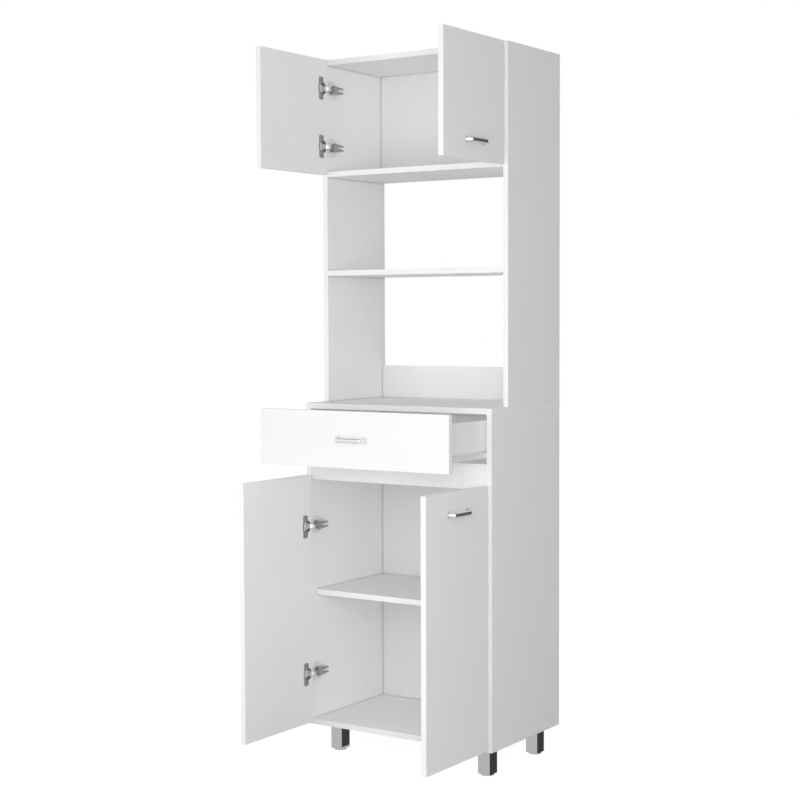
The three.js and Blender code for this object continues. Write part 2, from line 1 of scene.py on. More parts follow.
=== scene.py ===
"""Looks of the tall microwave cabinet: melamine boards with soft edges, chrome bow handles and
legs, cup hinges with their screws, and roller runners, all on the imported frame.
Metres, +Z up, the front towards -Y."""

import json
import math

import bmesh
import bpy
from mathutils import Matrix, Vector

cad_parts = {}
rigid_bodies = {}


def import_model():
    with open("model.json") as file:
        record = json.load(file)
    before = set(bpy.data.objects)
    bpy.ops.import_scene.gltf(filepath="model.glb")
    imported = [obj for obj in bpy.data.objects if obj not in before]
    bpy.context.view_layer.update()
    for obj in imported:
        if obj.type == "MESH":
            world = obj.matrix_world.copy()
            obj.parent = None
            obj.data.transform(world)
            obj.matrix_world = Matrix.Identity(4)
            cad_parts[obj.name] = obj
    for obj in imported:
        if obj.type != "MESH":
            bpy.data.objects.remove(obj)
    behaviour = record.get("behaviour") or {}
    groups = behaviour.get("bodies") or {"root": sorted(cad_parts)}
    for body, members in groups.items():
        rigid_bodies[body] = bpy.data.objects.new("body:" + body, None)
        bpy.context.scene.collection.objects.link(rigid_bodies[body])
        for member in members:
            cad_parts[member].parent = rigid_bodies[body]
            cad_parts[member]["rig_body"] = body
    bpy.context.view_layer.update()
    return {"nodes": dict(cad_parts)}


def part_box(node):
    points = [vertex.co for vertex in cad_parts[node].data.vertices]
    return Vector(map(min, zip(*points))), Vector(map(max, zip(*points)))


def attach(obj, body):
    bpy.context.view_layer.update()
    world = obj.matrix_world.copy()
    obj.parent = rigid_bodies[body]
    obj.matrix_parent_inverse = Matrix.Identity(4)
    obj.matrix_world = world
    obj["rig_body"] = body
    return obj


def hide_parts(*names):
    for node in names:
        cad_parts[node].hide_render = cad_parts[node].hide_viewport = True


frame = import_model()

MM = 0.001
SIDES = {"left": -1, "right": 1}
STOREYS = ("upper", "lower")
ENDS = ("top", "bottom")
UP = Vector((0, 0, 1))

# ------------------------------------------------------------------ driving values

# Boards
BOARD_EDGE_RADIUS = 0.7 * MM
BOARD_EDGE_STEPS = 3
RAW_EDGE_REACH = 0.4 * MM  # how near the back plane a board's rear edge counts as unlipped
FLAT_FACE = 0.7  # least share of a face's normal along the board's thickness, to be no edge
REAR_FACE = 0.9  # the same backwards, to be a rear edge
# Painted shade in the boards' inside corners, from an ambient-occlusion node
PAINTED_CORNER_SHADE_REACH = 7 * MM
PAINTED_CORNER_SHADE = ((0.5, 0.75), (0.97, 1))  # painted shade: from how open a corner is to the share of the white left

# Edges of the hardware, and the cleaning of a solid's mesh
METAL_EDGE_RADIUS = 0.25 * MM
METAL_EDGE_STEPS = 2
LEG_EDGE_RADIUS = 0.8 * MM
LEG_EDGE_STEPS = 3
SMOOTH_ANGLE = math.radians(34)
BEVEL_ANGLE = math.radians(30)
FLAT_ANGLE = math.radians(0.5)  # under which neighbouring faces become one
WELD_DISTANCE = 0.001 * MM

# Bow handles
HANDLE_FEET = 84 * MM
HANDLE_LENGTH = 80 * MM
HANDLE_PROJECTION = 19.5 * MM
HANDLE_LEG = 8 * MM
HANDLE_BAR = 7 * MM
HANDLE_HEIGHT = 10 * MM
HANDLE_BEND = 3 * MM  # how far from a corner the middle line starts to bend
HANDLE_ROUND = 2.2 * MM  # of the section's corners
HANDLE_BEND_STEPS = 12
HANDLE_BAR_STEPS = 14
HANDLE_LEG_STEPS = 5
SECTION_CORNER_STEPS = 5
ROSETTE_RADIUS = 8.5 * MM
ROSETTE_THICKNESS = 2.5 * MM
ROSETTE_ROUND = 1 * MM
ROSETTE_SPOKES = 48
ROSETTE_ROUND_STEPS = 5

# Screws
SCREW_HEAD_RADIUS = 3.4 * MM
SCREW_HEAD_HEIGHT = 1.3 * MM
SCREW_RIM_HEIGHT = 0.5 * MM
SCREW_STEM = 2 * MM
SCREW_SPOKES = 32
SCREW_RINGS = 9
RECESS_HALF_WIDTH = 0.42 * MM
RECESS_REACH = 1.9 * MM
RECESS_DEPTH = 0.9 * MM
DOME_POWER = 2.6  # how flat the head is in its middle

# Hinges, as in the solids
PLATE_SCREW_LINE = 22 * MM
PLATE_SCREW_SPACING = 32 * MM
PLATE_FACE = 2.6 * MM  # of the mounting plate over the side panel
PLATE_BRIGHT_REACH = 1.2 * PLATE_FACE  # the arm is in painted shade from there on
ARM_CROWN = 14 * MM
ARM_SCREW_LINE = 34 * MM
ARM_TAIL_SCREW_LINE = 44 * MM
ARM_NOSE_REACH = 5 * MM  # of the arm in front of the carcass
LINK_BRIGHT_REACH = 11 * MM  # of the link from the cup; the rest of it is in the arm's painted shade
FLANGE_SCREW_SPACING = 48 * MM
CUP_RADIUS = 17.5 * MM
DISH_RADIUS = 14 * MM  # of the cup's middle, painted near white as a painted highlight
FLANGE_LINE = 11.2 * MM  # of the flange's screws, from the cup's far rim
SMALL_SCREW = 0.85  # sizes next to the plate's screws
CLAMP_SCREW = 1.25

# Runners
ROLLER_REACH = 15.5 * MM  # of a roller from its runner's end
ROLLER_INSET = 1.5 * MM  # of a roller from its runner's sides
ROLLER_END_FACE = 0.9  # least share of a face's normal along the axle, on a roller's ends
ROLLER_RIM_FACE = 0.1  # the most of it on a roller's rim
ROLLER_SLOPE = 0.12  # least share of the normal along the runner, where the steel lies level

# The photograph's camera, found by fitting the cabinet's edges
PHOTO_SIDE = 800  # pixels
FOCAL_PIXELS = 1649.43
SENSOR = 36  # mm
CAMERA_PLACE = Vector((2.47315, -3.71019, 1.21026))
CAMERA_YAW = 0.5892
CAMERA_PITCH = 0.0505
CAMERA_ROLL = -0.0035
CAMERA_CLIP = (0.1, 100)

# Light
WORLD_FILL = 0.39  # of the surroundings as light
WORLD_SHOWN = 1  # of the surroundings as the camera and the metal see them
FILL_SOFTNESS = math.radians(70)
FILLS = (  # name, the way its light goes, strength; they reach everywhere and cast no shadow
    ("right_fill", (-1, 0, 0), 0.43),
    ("left_fill", (1, 0, 0), 0.9),
    ("back_fill", (0, -1, 0), 0.4),
)
SOFTBOX_SIZE = 1.6
SOFTBOXES = (  # name, place, the point it faces, watts
    ("left_softbox", (-1, -2.6, 1), (0, 0, 1), 22.4),
    ("right_softbox", (1.5, -2.3, 1), (0, 0, 1), 24),
    ("high_softbox", (1.3, -2.2, 1.9), (0, 0, 1.2), 7.6),
)
FLOOR_GLOW = 0.93  # of the floor's own white as the camera sees it
FLOOR_LIT = 0.2  # the part of the seen floor that is lit, which holds the shadow
FLOOR_WHITE = 0.5  # of the floor that the light falls on
FLOOR_SIZE = 30
# Glowing cards that only shiny metal sees are painted reflections; the two dark floor cards beside
# and under the cabinet are painted shadow of the floor
CARDS = (  # name, two opposite corners of a flat upright or level card, brightness
    ("side_flag", (7, 0, -1), (7, 14, 9), 0.11),
    ("right_floor_flag", (0.29, -0.34, 0.0015), (7, 14, 0.0015), 0.12),
    ("painted_shadow_beside_cabinet", (0.29, -0.34, 0.002), (0.8, 0.8, 0.002), 0.05),
    ("painted_shadow_under_cabinet", (-0.17, -0.34, 0.002), (0.1, 0.25, 0.002), 0.05),
    ("floor_card", (-2.5, -2, 0.001), (0.29, 0.3, 0.001), 0.54),
    ("ceiling_flag", (-4, -6, 3.2), (4, 3, 3.2), 0.3),
    ("front_card", (-0.3, -3, 0.3), (4.5, -3, 2.3), 1.6),
)

scene = bpy.context.scene


# ------------------------------------------------------------------ materials

def new_material(name, color, roughness, metallic=0.0):
    """A Principled material and the parts of its node tree that the finishes below add to."""
    material = bpy.data.materials.new(name)
    material.use_nodes = True
    tree = material.node_tree
    shader = tree.nodes["Principled BSDF"]
    shader.inputs["Base Color"].default_value = (*color, 1)
    shader.inputs["Roughness"].default_value = roughness
    shader.inputs["Metallic"].default_value = metallic
    return material, tree, shader


def noise(tree, scale, detail=3.0, stretch=(1, 1, 1)):
    """Noise over the surface, in the part's own metres."""
    place = tree.nodes.new("ShaderNodeTexCoord")
    mapping = tree.nodes.new("ShaderNodeMapping")
    mapping.inputs["Scale"].default_value = stretch
    texture = tree.nodes.new("ShaderNodeTexNoise")
    texture.inputs["Scale"].default_value = scale
    texture.inputs["Detail"].default_value = detail
    tree.links.new(place.outputs["Object"], mapping.inputs["Vector"])
    tree.links.new(mapping.outputs["Vector"], texture.inputs["Vector"])
    return texture.outputs["Fac"]


def ramp(tree, value, stops):
    """Colours along a value: stops are (place, colour) pairs, and a number is a grey."""
    node = tree.nodes.new("ShaderNodeValToRGB")
    elements = node.color_ramp.elements
    while len(elements) < len(stops):
        elements.new(0.5)
    for element, (place, color) in zip(elements, stops):
        element.position = place
        element.color = (*(color if isinstance(color, tuple) else (color,) * 3), 1)
    tree.links.new(value, node.inputs["Fac"])
    return node.outputs["Color"]


def vary(tree, shader, socket, value, stops):
    """Drives an input of the shader by a value, through a ramp."""
    tree.links.new(ramp(tree, value, stops), shader.inputs[socket])


def add_bump(tree, shader, height, strength, distance):
    bump = tree.nodes.new("ShaderNodeBump")
    bump.inputs["Strength"].default_value = strength
    bump.inputs["Distance"].default_value = distance
    tree.links.new(height, bump.inputs["Height"])
    tree.links.new(bump.outputs["Normal"], shader.inputs["Normal"])


def with_painted_corner_shade(tree, color):
    """A board's colour darkened in the inside corners between boards by an ambient-occlusion node:
    painted shade.
    """
    corner = tree.nodes.new("ShaderNodeAmbientOcclusion")
    corner.inputs["Distance"].default_value = PAINTED_CORNER_SHADE_REACH
    shade = tree.nodes.new("ShaderNodeMixRGB")
    shade.blend_type = "MULTIPLY"
    shade.inputs["Fac"].default_value = 1
    tree.links.new(color, shade.inputs["Color1"])
    tree.links.new(ramp(tree, corner.outputs["AO"], PAINTED_CORNER_SHADE), shade.inputs["Color2"])
    return shade.outputs["Color"]


def melamine():
    """White melamine: an almost even white with a fine pebbled press texture."""
    material, tree, shader = new_material("melamine", (0.9, 0.9, 0.9), 0.55)
    shader.inputs["Specular IOR Level"].default_value = 0.12
    cloud = noise(tree, 9, 2)
    white = ramp(tree, cloud, [(0.3, (0.893, 0.893, 0.896)), (0.7, (0.905, 0.905, 0.907))])
    # Painted shade darkens the white in the corners between boards.
    tree.links.new(with_painted_corner_shade(tree, white), shader.inputs["Base Color"])
    pebble = noise(tree, 1700, 2)
    vary(tree, shader, "Roughness", pebble, [(0.3, 0.5), (0.7, 0.6)])
    add_bump(tree, shader, pebble, 0.12, 0.05 * MM)
    return material


def edge_tape():
    """The plastic lipping of the boards: whiter and smoother than the faces, with faint marks."""
    material, tree, shader = new_material("edge_tape", (0.93, 0.93, 0.93), 0.42)
    shader.inputs["Specular IOR Level"].default_value = 0.18
    marks = noise(tree, 240, 2, (1, 1, 0.05))
    vary(tree, shader, "Base Color", marks,
         [(0.3, (0.925, 0.925, 0.926)), (0.7, (0.94, 0.94, 0.94))])
    vary(tree, shader, "Roughness", marks, [(0.3, 0.38), (0.7, 0.46)])
    add_bump(tree, shader, marks, 0.08, 0.04 * MM)
    return material


def chipboard():
    """The unlipped rear edges: pressed wood chips in several browns."""
    material, tree, shader = new_material("chipboard", (0.5, 0.36, 0.22), 0.85)
    place = tree.nodes.new("ShaderNodeTexCoord")
    chips = tree.nodes.new("ShaderNodeTexVoronoi")
    chips.inputs["Scale"].default_value = 420
    chips.inputs["Randomness"].default_value = 1
    tree.links.new(place.outputs["Object"], chips.inputs["Vector"])
    tone = tree.nodes.new("ShaderNodeSeparateColor")
    tree.links.new(chips.outputs["Color"], tone.inputs["Color"])
    vary(tree, shader, "Base Color", tone.outputs["Red"], [
        (0.0, (0.3, 0.19, 0.1)),
        (0.35, (0.5, 0.35, 0.2)),
        (0.7, (0.62, 0.47, 0.3)),
        (1.0, (0.72, 0.58, 0.4)),
    ])
    add_bump(tree, shader, tone.outputs["Green"], 0.5, 0.3 * MM)
    return material


def hardboard():
    """White-lacquered hardboard of the backs and the drawer bottom, duller than melamine."""
    material, tree, shader = new_material("white_hardboard", (0.88, 0.88, 0.88), 0.6)
    shader.inputs["Specular IOR Level"].default_value = 0.12
    fibre = noise(tree, 700, 4)
    white = ramp(tree, fibre, [(0.3, (0.87, 0.87, 0.872)), (0.7, (0.888, 0.888, 0.89))])
    # Painted shade darkens the white in the corners between boards.
    tree.links.new(with_painted_corner_shade(tree, white), shader.inputs["Base Color"])
    vary(tree, shader, "Roughness", fibre, [(0.3, 0.5), (0.7, 0.62)])
    add_bump(tree, shader, fibre, 0.15, 0.08 * MM)
    return material


def chrome():
    """Polished chrome plate with the faintest uneven polish."""
    material, tree, shader = new_material("chrome", (0.82, 0.82, 0.83), 0.08, 1)
    polish = noise(tree, 320, 3)
    vary(tree, shader, "Roughness", polish, [(0.3, 0.05), (0.75, 0.12)])
    vary(tree, shader, "Base Color", polish, [(0.2, (0.8, 0.8, 0.815)), (0.8, (0.84, 0.84, 0.85))])
    add_bump(tree, shader, noise(tree, 90, 1), 0.03, 0.1 * MM)
    return material


def nickel(name, grey, metallic=0.75):
    """Plated steel of the hinges and the handles' feet, with fine marks along the strip."""
    material, tree, shader = new_material(name, (grey,) * 3, 0.26, metallic)
    marks = noise(tree, 900, 4, (1, 0.12, 1))
    vary(tree, shader, "Roughness", marks, [(0.25, 0.2), (0.75, 0.36)])
    vary(tree, shader, "Base Color", marks, [(0.2, grey * 0.88), (0.8, grey * 1.12)])
    add_bump(tree, shader, marks, 0.1, 0.05 * MM)
    return material


def enamel():
    """White baked enamel of the runners, with slight orange peel."""
    material, tree, shader = new_material("white_enamel", (0.84, 0.84, 0.83), 0.3)
    peel = noise(tree, 420, 2)
    vary(tree, shader, "Base Color", peel, [(0.3, (0.83, 0.83, 0.825)), (0.7, (0.86, 0.86, 0.855))])
    vary(tree, shader, "Roughness", peel, [(0.3, 0.26), (0.7, 0.34)])
    add_bump(tree, shader, peel, 0.12, 0.08 * MM)
    return material


def nylon():
    """Milky nylon of the runners' rollers."""
    material, tree, shader = new_material("nylon", (0.9, 0.9, 0.88), 0.38)
    shader.inputs["Subsurface Weight"].default_value = 0.15
    shader.inputs["Subsurface Scale"].default_value = 2 * MM
    grain = noise(tree, 600, 2)
    vary(tree, shader, "Base Color", grain, [(0.3, (0.88, 0.88, 0.86)), (0.7, (0.91, 0.91, 0.895))])
    vary(tree, shader, "Roughness", grain, [(0.3, 0.33), (0.7, 0.43)])
    return material


MELAMINE = melamine()
EDGE_TAPE = edge_tape()
CHIPBOARD = chipboard()
HARDBOARD = hardboard()
CHROME = chrome()
# Copies of the one plated steel of the hinges: bright nickel, and nickel in painted shade for the
# arms, links, cup flanges and cup screws
NICKEL = nickel("bright_nickel", 0.84)
NICKEL_IN_PAINTED_SHADE = nickel("nickel_in_painted_shade", 0.33)
# The cup's middle: a near-white non-metal that stands for a painted highlight
DISH_PAINTED_HIGHLIGHT = nickel("dish_painted_highlight", 0.89, 0)
SATIN_CHROME = nickel("satin_chrome", 0.8, 0.4)
ENAMEL = enamel()
NYLON = nylon()


# ------------------------------------------------------------------ pieces

def body_of(node):
    """The moving body that a CAD node rides on."""
    return frame["nodes"][node]["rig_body"]


def add_piece(name, mesh, body, materials):
    """A visible piece on a body, with its materials."""
    piece = bpy.data.objects.new(name, mesh)
    scene.collection.objects.link(piece)
    for material in materials:
        mesh.materials.append(material)
    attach(piece, body)
    return piece


def bare_mesh(node):
    """A CAD node's shape as a fresh mesh of whole faces, with nothing of its shading."""
    work = bmesh.new()
    work.from_mesh(frame["nodes"][node].data)
    bmesh.ops.remove_doubles(work, verts=work.verts, dist=WELD_DISTANCE)
    bmesh.ops.dissolve_limit(work, angle_limit=FLAT_ANGLE, verts=work.verts, edges=work.edges)
    mesh = bpy.data.meshes.new(node)
    work.to_mesh(mesh)
    work.free()
    for layer in ("custom_normal", "UVMap"):
        if layer in mesh.attributes:
            mesh.attributes.remove(mesh.attributes[layer])
    mesh.materials.clear()
    for polygon in mesh.polygons:
        polygon.material_index = 0
    return mesh


def rounded(node, radius, steps, materials):
    """A copy of a CAD node with its edges rounded, which then stands for the node."""
    piece = add_piece(f"{node}_finish", bare_mesh(node), body_of(node), materials)
    piece.data.shade_smooth()
    bevel = piece.modifiers.new("edges", "BEVEL")
    bevel.width = radius
    bevel.segments = steps
    bevel.limit_method = "ANGLE"
    bevel.angle_limit = BEVEL_ANGLE
    bevel.use_clamp_overlap = True
    bevel.miter_outer = "MITER_ARC"
    weights = piece.modifiers.new("normals", "WEIGHTED_NORMAL")
    weights.keep_sharp = True
    depsgraph = bpy.context.evaluated_depsgraph_get()
    made = bpy.data.meshes.new_from_object(piece.evaluated_get(depsgraph))
    piece.modifiers.clear()
    piece.data = made
    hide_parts(node)
    return piece


def finish_board(node):
    """Rounds a board and gives its faces, its lipped edges and its raw rear edge their finishes."""
    finishes = (MELAMINE, EDGE_TAPE, CHIPBOARD)
    piece = rounded(node, BOARD_EDGE_RADIUS, BOARD_EDGE_STEPS, finishes)
    low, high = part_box(node)
    size = high - low
    thin = min(range(3), key=lambda axis: size[axis])
    for polygon in piece.data.polygons:
        flat = abs(polygon.normal[thin]) > FLAT_FACE
        rear = polygon.normal.y > REAR_FACE and polygon.center.y > BACK_PLANE - RAW_EDGE_REACH
        finish = CHIPBOARD if rear and thin != 1 else (MELAMINE if flat else EDGE_TAPE)
        polygon.material_index = finishes.index(finish)
    return piece


BACK_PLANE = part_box("worktop")[1].y

CARCASS_BOARDS = (
    "base_side_left", "base_side_right", "base_bottom", "worktop", "front_rail", "base_shelf",
    "upper_side_left", "upper_side_right", "upper_top", "upper_floor", "bay_shelf", "backsplash",
)
DRAWER_BOARDS = ("drawer_front", "drawer_side_left", "drawer_side_right", "drawer_back")
DOORS = [f"{storey}_door_{side}" for storey in STOREYS for side in SIDES]
for board in (*CARCASS_BOARDS, *DRAWER_BOARDS, *DOORS):
    finish_board(board)

for sheet in ("base_back", "upper_back", "drawer_bottom"):
    for slot in frame["nodes"][sheet].material_slots:
        slot.material = HARDBOARD

for row in ("front", "back"):
    for side in SIDES:
        rounded(f"leg_{row}_{side}", LEG_EDGE_RADIUS, LEG_EDGE_STEPS, (CHROME,))


# ------------------------------------------------------------------ bow handles

def handle_path():
    """Middle line of the bow, feet on y = 0, reaching towards -Y, as (point, direction, width)."""
    lean = (HANDLE_FEET + HANDLE_LEG - HANDLE_LENGTH) / 2 / HANDLE_PROJECTION
    reach = HANDLE_PROJECTION - HANDLE_BAR / 2
    foot = Vector((-HANDLE_FEET / 2, 0, 0))
    corner = Vector((-HANDLE_FEET / 2 + lean * reach, -reach, 0))
    rise = (corner - foot).normalized()
    along = Vector((1, 0, 0))
    leg_width = HANDLE_LEG / math.hypot(1, lean)
    start = foot + rise * ROSETTE_THICKNESS / 2
    bend = corner - rise * HANDLE_BEND
    half = [(start.lerp(bend, i / HANDLE_LEG_STEPS), rise, leg_width)
            for i in range(HANDLE_LEG_STEPS)]
    for i in range(HANDLE_BEND_STEPS + 1):
        t = i / HANDLE_BEND_STEPS
        point = bend.lerp(corner, t).lerp(corner.lerp(corner + along * HANDLE_BEND, t), t)
        width = leg_width + (HANDLE_BAR - leg_width) * t
        half.append((point, rise.lerp(along, t).normalized(), width))
    end = half[-1][0].x
    bar = [(Vector((end * (1 - 2 * i / HANDLE_BAR_STEPS), -reach, 0)), along, HANDLE_BAR)
           for i in range(1, HANDLE_BAR_STEPS)]
    mirrored = [(Vector((-point.x, point.y, 0)), Vector((direction.x, -direction.y, 0)), width)
                for point, direction, width in reversed(half)]
    return half + bar + mirrored


def section(width, height, radius):
    """A rounded rectangle as (across, up) pairs."""
    points = []
    corners = ((1, 1), (-1, 1), (-1, -1), (1, -1))
    for quarter, (sx, sy) in enumerate(corners):
        for i in range(SECTION_CORNER_STEPS + 1):
            angle = (quarter + i / SECTION_CORNER_STEPS) * math.pi / 2
            points.append((
                sx * (width / 2 - radius) + radius * math.cos(angle),
                sy * (height / 2 - radius) + radius * math.sin(angle),
            ))
    return points


def add_rosette(work, middle):
    """The round foot of a handle, standing on y = 0 and facing -Y."""
    profile = [(ROSETTE_RADIUS, 0)]
    for i in range(ROSETTE_ROUND_STEPS + 1):
        angle = i / ROSETTE_ROUND_STEPS * math.pi / 2
        profile.append((
            ROSETTE_RADIUS - ROSETTE_ROUND * (1 - math.cos(angle)),
            ROSETTE_THICKNESS - ROSETTE_ROUND * (1 - math.sin(angle)),
        ))
    loops = [[work.verts.new((middle + r * math.cos(k * math.tau / ROSETTE_SPOKES), -h,
                              r * math.sin(k * math.tau / ROSETTE_SPOKES)))
              for k in range(ROSETTE_SPOKES)] for r, h in profile]
    for first, second in zip(loops, loops[1:]):
        for k in range(ROSETTE_SPOKES):
            nxt = (k + 1) % ROSETTE_SPOKES
            work.faces.new((first[k], second[k], second[nxt], first[nxt]))
    work.faces.new(loops[-1])
    work.faces.new(list(reversed(loops[0])))


def smooth_mesh(work, name):
    """The mesh of a bmesh that is done, shaded smooth but for its sharp edges."""
    mesh = bpy.data.meshes.new(name)
    work.to_mesh(mesh)
    work.free()
    mesh.shade_smooth()
    mesh.set_sharp_from_angle(angle=SMOOTH_ANGLE)
    return mesh


def handle_mesh():
    """The bow as the first material and its two feet as the second."""
    work = bmesh.new()
    rings = []
    for point, direction, width in handle_path():
        across = direction.cross(UP)
        rings.append([work.verts.new(point + across * a + UP * b)
                      for a, b in section(width, HANDLE_HEIGHT, HANDLE_ROUND)])
    for first, second in zip(rings, rings[1:]):
        for i in range(len(first)):
            j = (i + 1) % len(first)
            work.faces.new((first[i], first[j], second[j], second[i]))
    work.faces.new(rings[0])
    work.faces.new(list(reversed(rings[-1])))
    bow_faces = len(work.faces)
    for end in (-1, 1):
        add_rosette(work, end * HANDLE_FEET / 2)
    for face in list(work.faces)[bow_faces:]:
        face.material_index = 1
    bmesh.ops.recalc_face_normals(work, faces=work.faces)
    return smooth_mesh(work, "bow_handle")


def add_handle(node, out):
    """Puts a bow handle where the node is; out is the direction that it reaches in."""
    low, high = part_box(node)
    middle = (low + high) / 2
    foot = Vector((
        middle.x if out.x == 0 else (low.x if out.x > 0 else high.x),
        middle.y if out.y == 0 else high.y,
        middle.z,
    ))
    mesh = handle_mesh()
    turn = Matrix((out.cross(UP), -out, UP)).transposed().to_4x4()
    mesh.transform(Matrix.Translation(foot) @ turn)
    piece = add_piece(f"{node}_finish", mesh, body_of(node), (CHROME, SATIN_CHROME))
    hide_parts(node)


add_handle("drawer_handle", Vector((0, -1, 0)))
for storey in STOREYS:
    for side, hand in SIDES.items():
        add_handle(f"{storey}_handle_{side}", Vector((hand, 0, 0)))


# ------------------------------------------------------------------ screws and hinges

def screw_height(radius, angle):
    """Height of a pan head's top over its seat, with a cross recess."""
    x, y = radius * math.cos(angle), radius * math.sin(angle)
    share = radius / SCREW_HEAD_RADIUS
    bulge = math.sqrt(max(0, 1 - share ** DOME_POWER))
    dome = SCREW_RIM_HEIGHT + (SCREW_HEAD_HEIGHT - SCREW_RIM_HEIGHT) * bulge
    in_cross = min(abs(x), abs(y)) < RECESS_HALF_WIDTH and max(abs(x), abs(y)) < RECESS_REACH
    return dome - (RECESS_DEPTH if in_cross else 0)


def add_screw(work, seat, out, scale=1.0):
    """Adds a pan-head screw that sits at a point and faces along out."""
    tilt = UP.rotation_difference(out).to_matrix()
    place = Matrix.Translation(seat) @ tilt.to_4x4() @ Matrix.Scale(scale, 4)
    angles = [k * math.tau / SCREW_SPOKES for k in range(SCREW_SPOKES)]

    def circle(r, height):
        return [work.verts.new(place @ Vector((r * math.cos(a), r * math.sin(a), height(a))))
                for a in angles]

    loops = []
    for i in range(1, SCREW_RINGS + 1):
        radius = SCREW_HEAD_RADIUS * i / SCREW_RINGS
        loops.append(circle(radius, lambda angle: screw_height(radius, angle)))
    loops.append(circle(SCREW_HEAD_RADIUS, lambda angle: 0))
    loops.append(circle(SCREW_HEAD_RADIUS / 2, lambda angle: 0))
    foot = circle(SCREW_HEAD_RADIUS / 2, lambda angle: -SCREW_STEM)
    loops.append(foot)
    tip = work.verts.new(place @ Vector((0, 0, screw_height(0, 0))))
    for k in range(SCREW_SPOKES):
        nxt = (k + 1) % SCREW_SPOKES
        work.faces.new((tip, loops[0][k], loops[0][nxt]))
        for inner, outer in zip(loops, loops[1:]):
            work.faces.new((inner[k], outer[k], outer[nxt], inner[nxt]))
    work.faces.new(list(reversed(foot)))


def screws_piece(name, places, out, body, finish):
    """One piece of the screws at the places, which are (seat, scale) pairs."""
    work = bmesh.new()
    for seat, scale in places:
        add_screw(work, seat, out, scale)
    add_piece(name, smooth_mesh(work, name), body, (finish,))


def finish_steel(node, bright, dark):
    """A rounded copy of one of a hinge's solids, in its bright material and its painted-shade
    material.
    """
    return rounded(node, METAL_EDGE_RADIUS, METAL_EDGE_STEPS, (bright, dark))


def finish_hinge(storey, side, hand, end):
    """Rounds a hinge's three solids, parts their steel into bright nickel and nickel in painted
    shade, with a painted highlight in the cup, and adds the screws.
    """
    arm, link, cup = (f"hinge_{part}_{storey}_{side}_{end}" for part in ("arm", "link", "cup"))
    low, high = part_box(arm)
    side_face = high.x if hand > 0 else low.x
    z = (low.z + high.z) / 2
    front = low.y + ARM_NOSE_REACH
    inward = Vector((-hand, 0, 0))
    dressed = finish_steel(arm, NICKEL, NICKEL_IN_PAINTED_SHADE)
    for polygon in dressed.data.polygons:
        # The arm past the plate is in painted shade.
        polygon.material_index = 1 if abs(polygon.center.x - side_face) > PLATE_BRIGHT_REACH else 0
    low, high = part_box(link)
    dressed = finish_steel(link, NICKEL, NICKEL_IN_PAINTED_SHADE)
    for polygon in dressed.data.polygons:
        # The link away from the cup is in painted shade.
        polygon.material_index = 1 if polygon.center.y > low.y + LINK_BRIGHT_REACH else 0

    def on_arm(height, line, rise=0):
        return Vector((side_face - hand * height, front + line, z + rise))

    places = [(on_arm(PLATE_FACE, PLATE_SCREW_LINE, step * PLATE_SCREW_SPACING / 2), 1)
              for step in (-1, 1)]
    places.append((on_arm(ARM_CROWN, ARM_SCREW_LINE), SMALL_SCREW))
    places.append((on_arm(ARM_CROWN, ARM_TAIL_SCREW_LINE), CLAMP_SCREW))
    screws_piece(f"hinge_plate_screws_{storey}_{side}_{end}", places, inward, body_of(arm), NICKEL)

    low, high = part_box(cup)
    face = low.x if hand > 0 else high.x
    dressed = finish_steel(cup, DISH_PAINTED_HIGHLIGHT, NICKEL_IN_PAINTED_SHADE)
    # The cup's middle gets the painted highlight; its flange face and outer part the painted shade.
    for polygon in dressed.data.polygons:
        at = polygon.center
        off_axis = math.hypot(at.y - (high.y - CUP_RADIUS), at.z - z)
        dark = abs(at.x - face) < METAL_EDGE_RADIUS or off_axis > DISH_RADIUS
        polygon.material_index = 1 if dark else 0
    line = low.y + FLANGE_LINE
    seats = [(Vector((face, line, z + step * FLANGE_SCREW_SPACING / 2)), SMALL_SCREW)
             for step in (-1, 1)]
    body = body_of(cup)
    # The cup's screws are in painted shade too.
    screws_piece(f"hinge_cup_screws_{storey}_{side}_{end}", seats, inward, body, NICKEL_IN_PAINTED_SHADE)


for storey in STOREYS:
    for side, hand in SIDES.items():
        for end in ENDS:
            finish_hinge(storey, side, hand, end)


# ------------------------------------------------------------------ runners

def finish_runner(node, roller_end):
    """Gives a runner its enamel, and its roller at the front (-1) or rear (1) end the nylon."""
    piece = rounded(node, METAL_EDGE_RADIUS, METAL_EDGE_STEPS, (ENAMEL, NYLON))
    low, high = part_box(node)
    edge = low.y if roller_end < 0 else high.y
    for polygon in piece.data.polygons:
        x, y, _ = polygon.center
        near = abs(y - edge) < ROLLER_REACH
        end = abs(polygon.normal.x) > ROLLER_END_FACE
        inside = low.x + ROLLER_INSET < x < high.x - ROLLER_INSET
        rim = abs(polygon.normal.x) < ROLLER_RIM_FACE and abs(polygon.normal.y) > ROLLER_SLOPE
        polygon.material_index = 1 if near and inside and (rim or end) else 0


for side in SIDES:
    finish_runner(f"cabinet_runner_{side}", -1)
    finish_runner(f"drawer_runner_{side}", 1)


# ------------------------------------------------------------------ floor, world and lamps

def background_rays(tree):
    """1 where the camera, a mirror or glass looks at the background, and 0 for its light."""
    path = tree.nodes.new("ShaderNodeLightPath")
    both = tree.nodes.new("ShaderNodeMath")
    both.operation = "MAXIMUM"
    every = tree.nodes.new("ShaderNodeMath")
    every.operation = "MAXIMUM"
    tree.links.new(path.outputs["Is Camera Ray"], both.inputs[0])
    tree.links.new(path.outputs["Is Glossy Ray"], both.inputs[1])
    tree.links.new(both.outputs[0], every.inputs[0])
    tree.links.new(path.outputs["Is Transmission Ray"], every.inputs[1])
    return every.outputs[0]


def plain(node, grey, strength=None):
    """Gives a shader node one grey, and a strength if it glows, and returns its output."""
    node.inputs["Color"].default_value = (grey, grey, grey, 1)
    if strength is not None:
        node.inputs["Strength"].default_value = strength
    return node.outputs[0]


